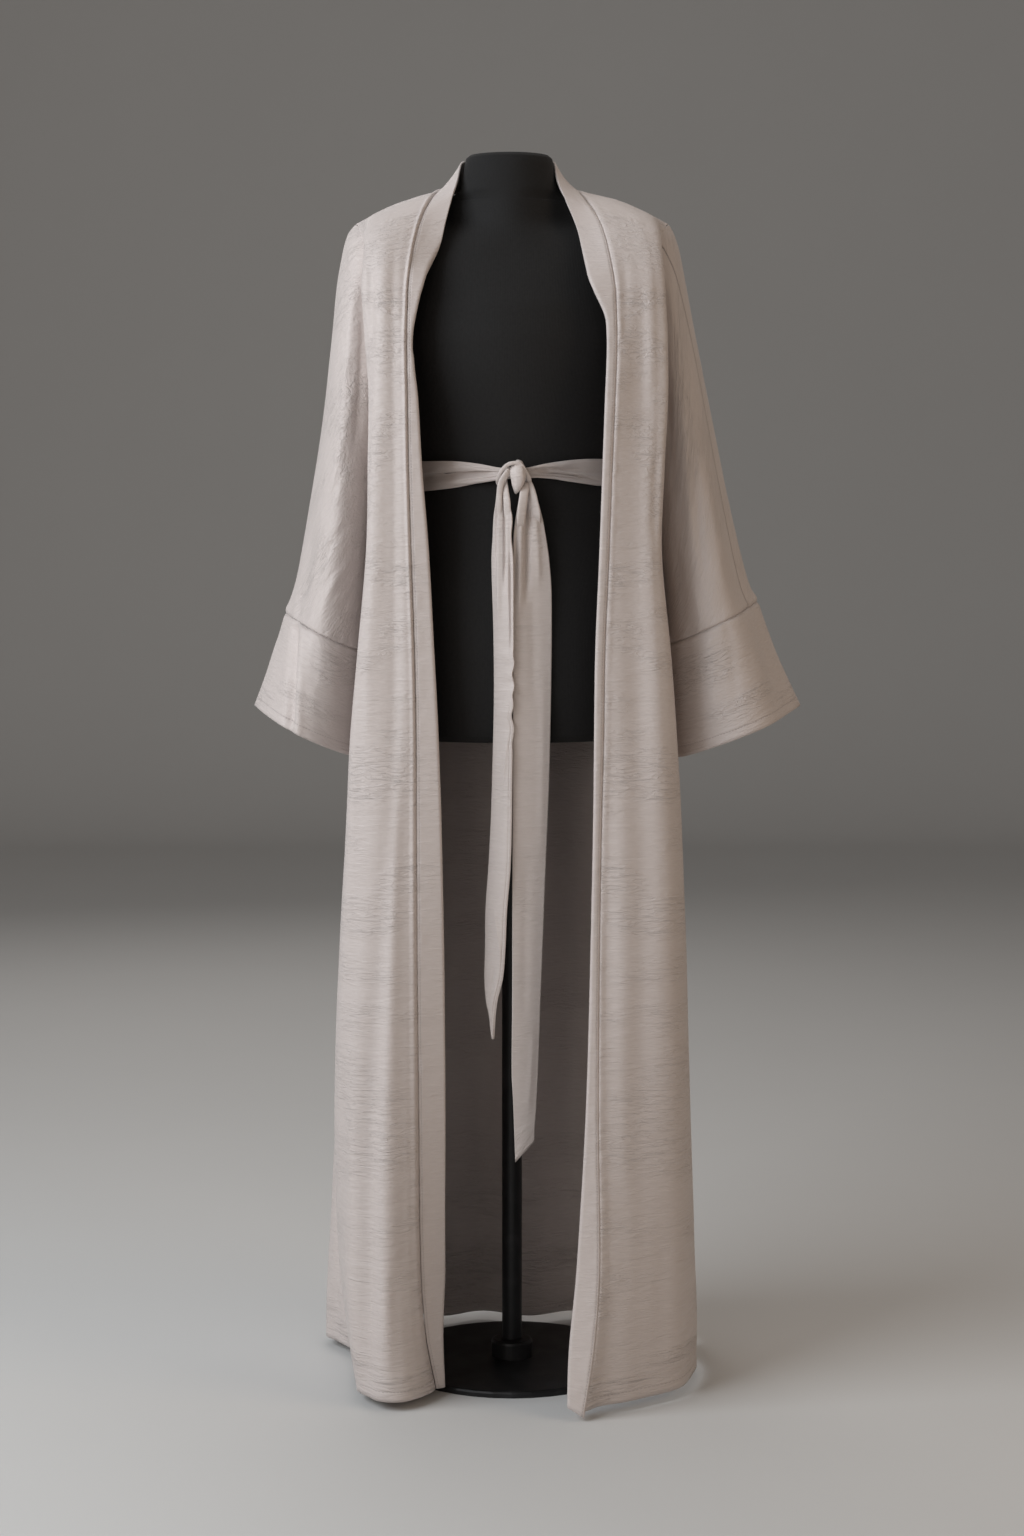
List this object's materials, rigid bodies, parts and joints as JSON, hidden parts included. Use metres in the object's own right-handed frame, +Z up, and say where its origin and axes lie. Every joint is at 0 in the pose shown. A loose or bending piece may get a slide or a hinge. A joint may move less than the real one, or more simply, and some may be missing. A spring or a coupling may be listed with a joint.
{
  "type": "abaya cloak on a dress form",
  "caption": "Open floor-length cloak with banded front, long sleeves with flared cuffs and a tied cloth belt, worn by a limbless dress form on a round stand.",
  "frame": {"origin": "centre of the stand base's underside, on the floor", "axes": "+Z up, -Y the way the cloak's front faces, -X the wearer's right"},
  "size_m": [0.674, 0.421, 1.493],
  "materials": {
    "cloak_cloth": "soft satin-backed crepe with a fine crinkle, greige",
    "belt_cloth": "the same crepe, sewn double",
    "form_jersey": "black jersey cover, matte",
    "stand_metal": "black powder coat"
  },
  "bodies": {
    "root": {"front_right": "cloak_cloth", "front_left": "cloak_cloth", "back": "cloak_cloth", "sleeve_right": "cloak_cloth", "sleeve_left": "cloak_cloth", "cuff_right": "cloak_cloth", "cuff_left": "cloak_cloth", "band_right": "cloak_cloth", "band_left": "cloak_cloth", "belt_loop": "belt_cloth", "belt_knot": "belt_cloth", "belt_end_right": "belt_cloth", "belt_end_left": "belt_cloth", "form_torso": "form_jersey", "form_collar": "stand_metal", "stand_pole": "stand_metal", "stand_boss": "stand_metal", "stand_base": "stand_metal"}
  },
  "joints": []
}
